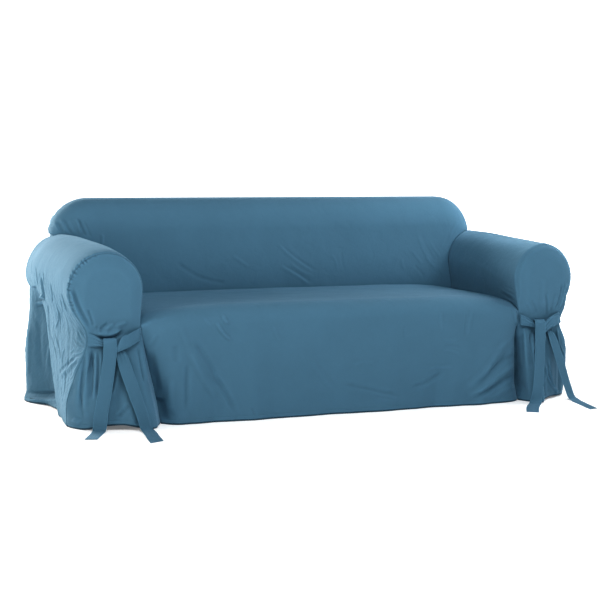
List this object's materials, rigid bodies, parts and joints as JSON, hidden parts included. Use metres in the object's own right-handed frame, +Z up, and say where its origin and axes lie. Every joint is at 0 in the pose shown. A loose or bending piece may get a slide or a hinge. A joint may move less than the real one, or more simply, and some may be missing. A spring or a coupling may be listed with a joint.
{
  "type": "sofa slipcover",
  "caption": "Hollow fitted cloth cover for a sofa with rolled arms, open below, with flat ties knotted in front of each arm and tails that run out on the floor.",
  "frame": {"origin": "middle of the box around the cover and its ties, at the level of the floor", "axes": "+X to the right of someone facing the sofa, along its length; +Y from the front to the rear; +Z up"},
  "size_m": [2.3344, 1.3047, 0.89],
  "materials": {
    "cover_cotton": "matt plain-weave cotton, dusty blue",
    "tie_cotton": "matt plain-weave cotton, dusty blue"
  },
  "bodies": {
    "root": {"back_inside": "cover_cotton", "back_outside": "cover_cotton", "seat_front": "cover_cotton", "arm_left": "cover_cotton", "arm_right": "cover_cotton", "arm_front_left": "cover_cotton", "arm_front_right": "cover_cotton", "tie_left_outer": "tie_cotton", "tie_left_inner": "tie_cotton", "tie_right_outer": "tie_cotton", "tie_right_inner": "tie_cotton"}
  },
  "joints": []
}
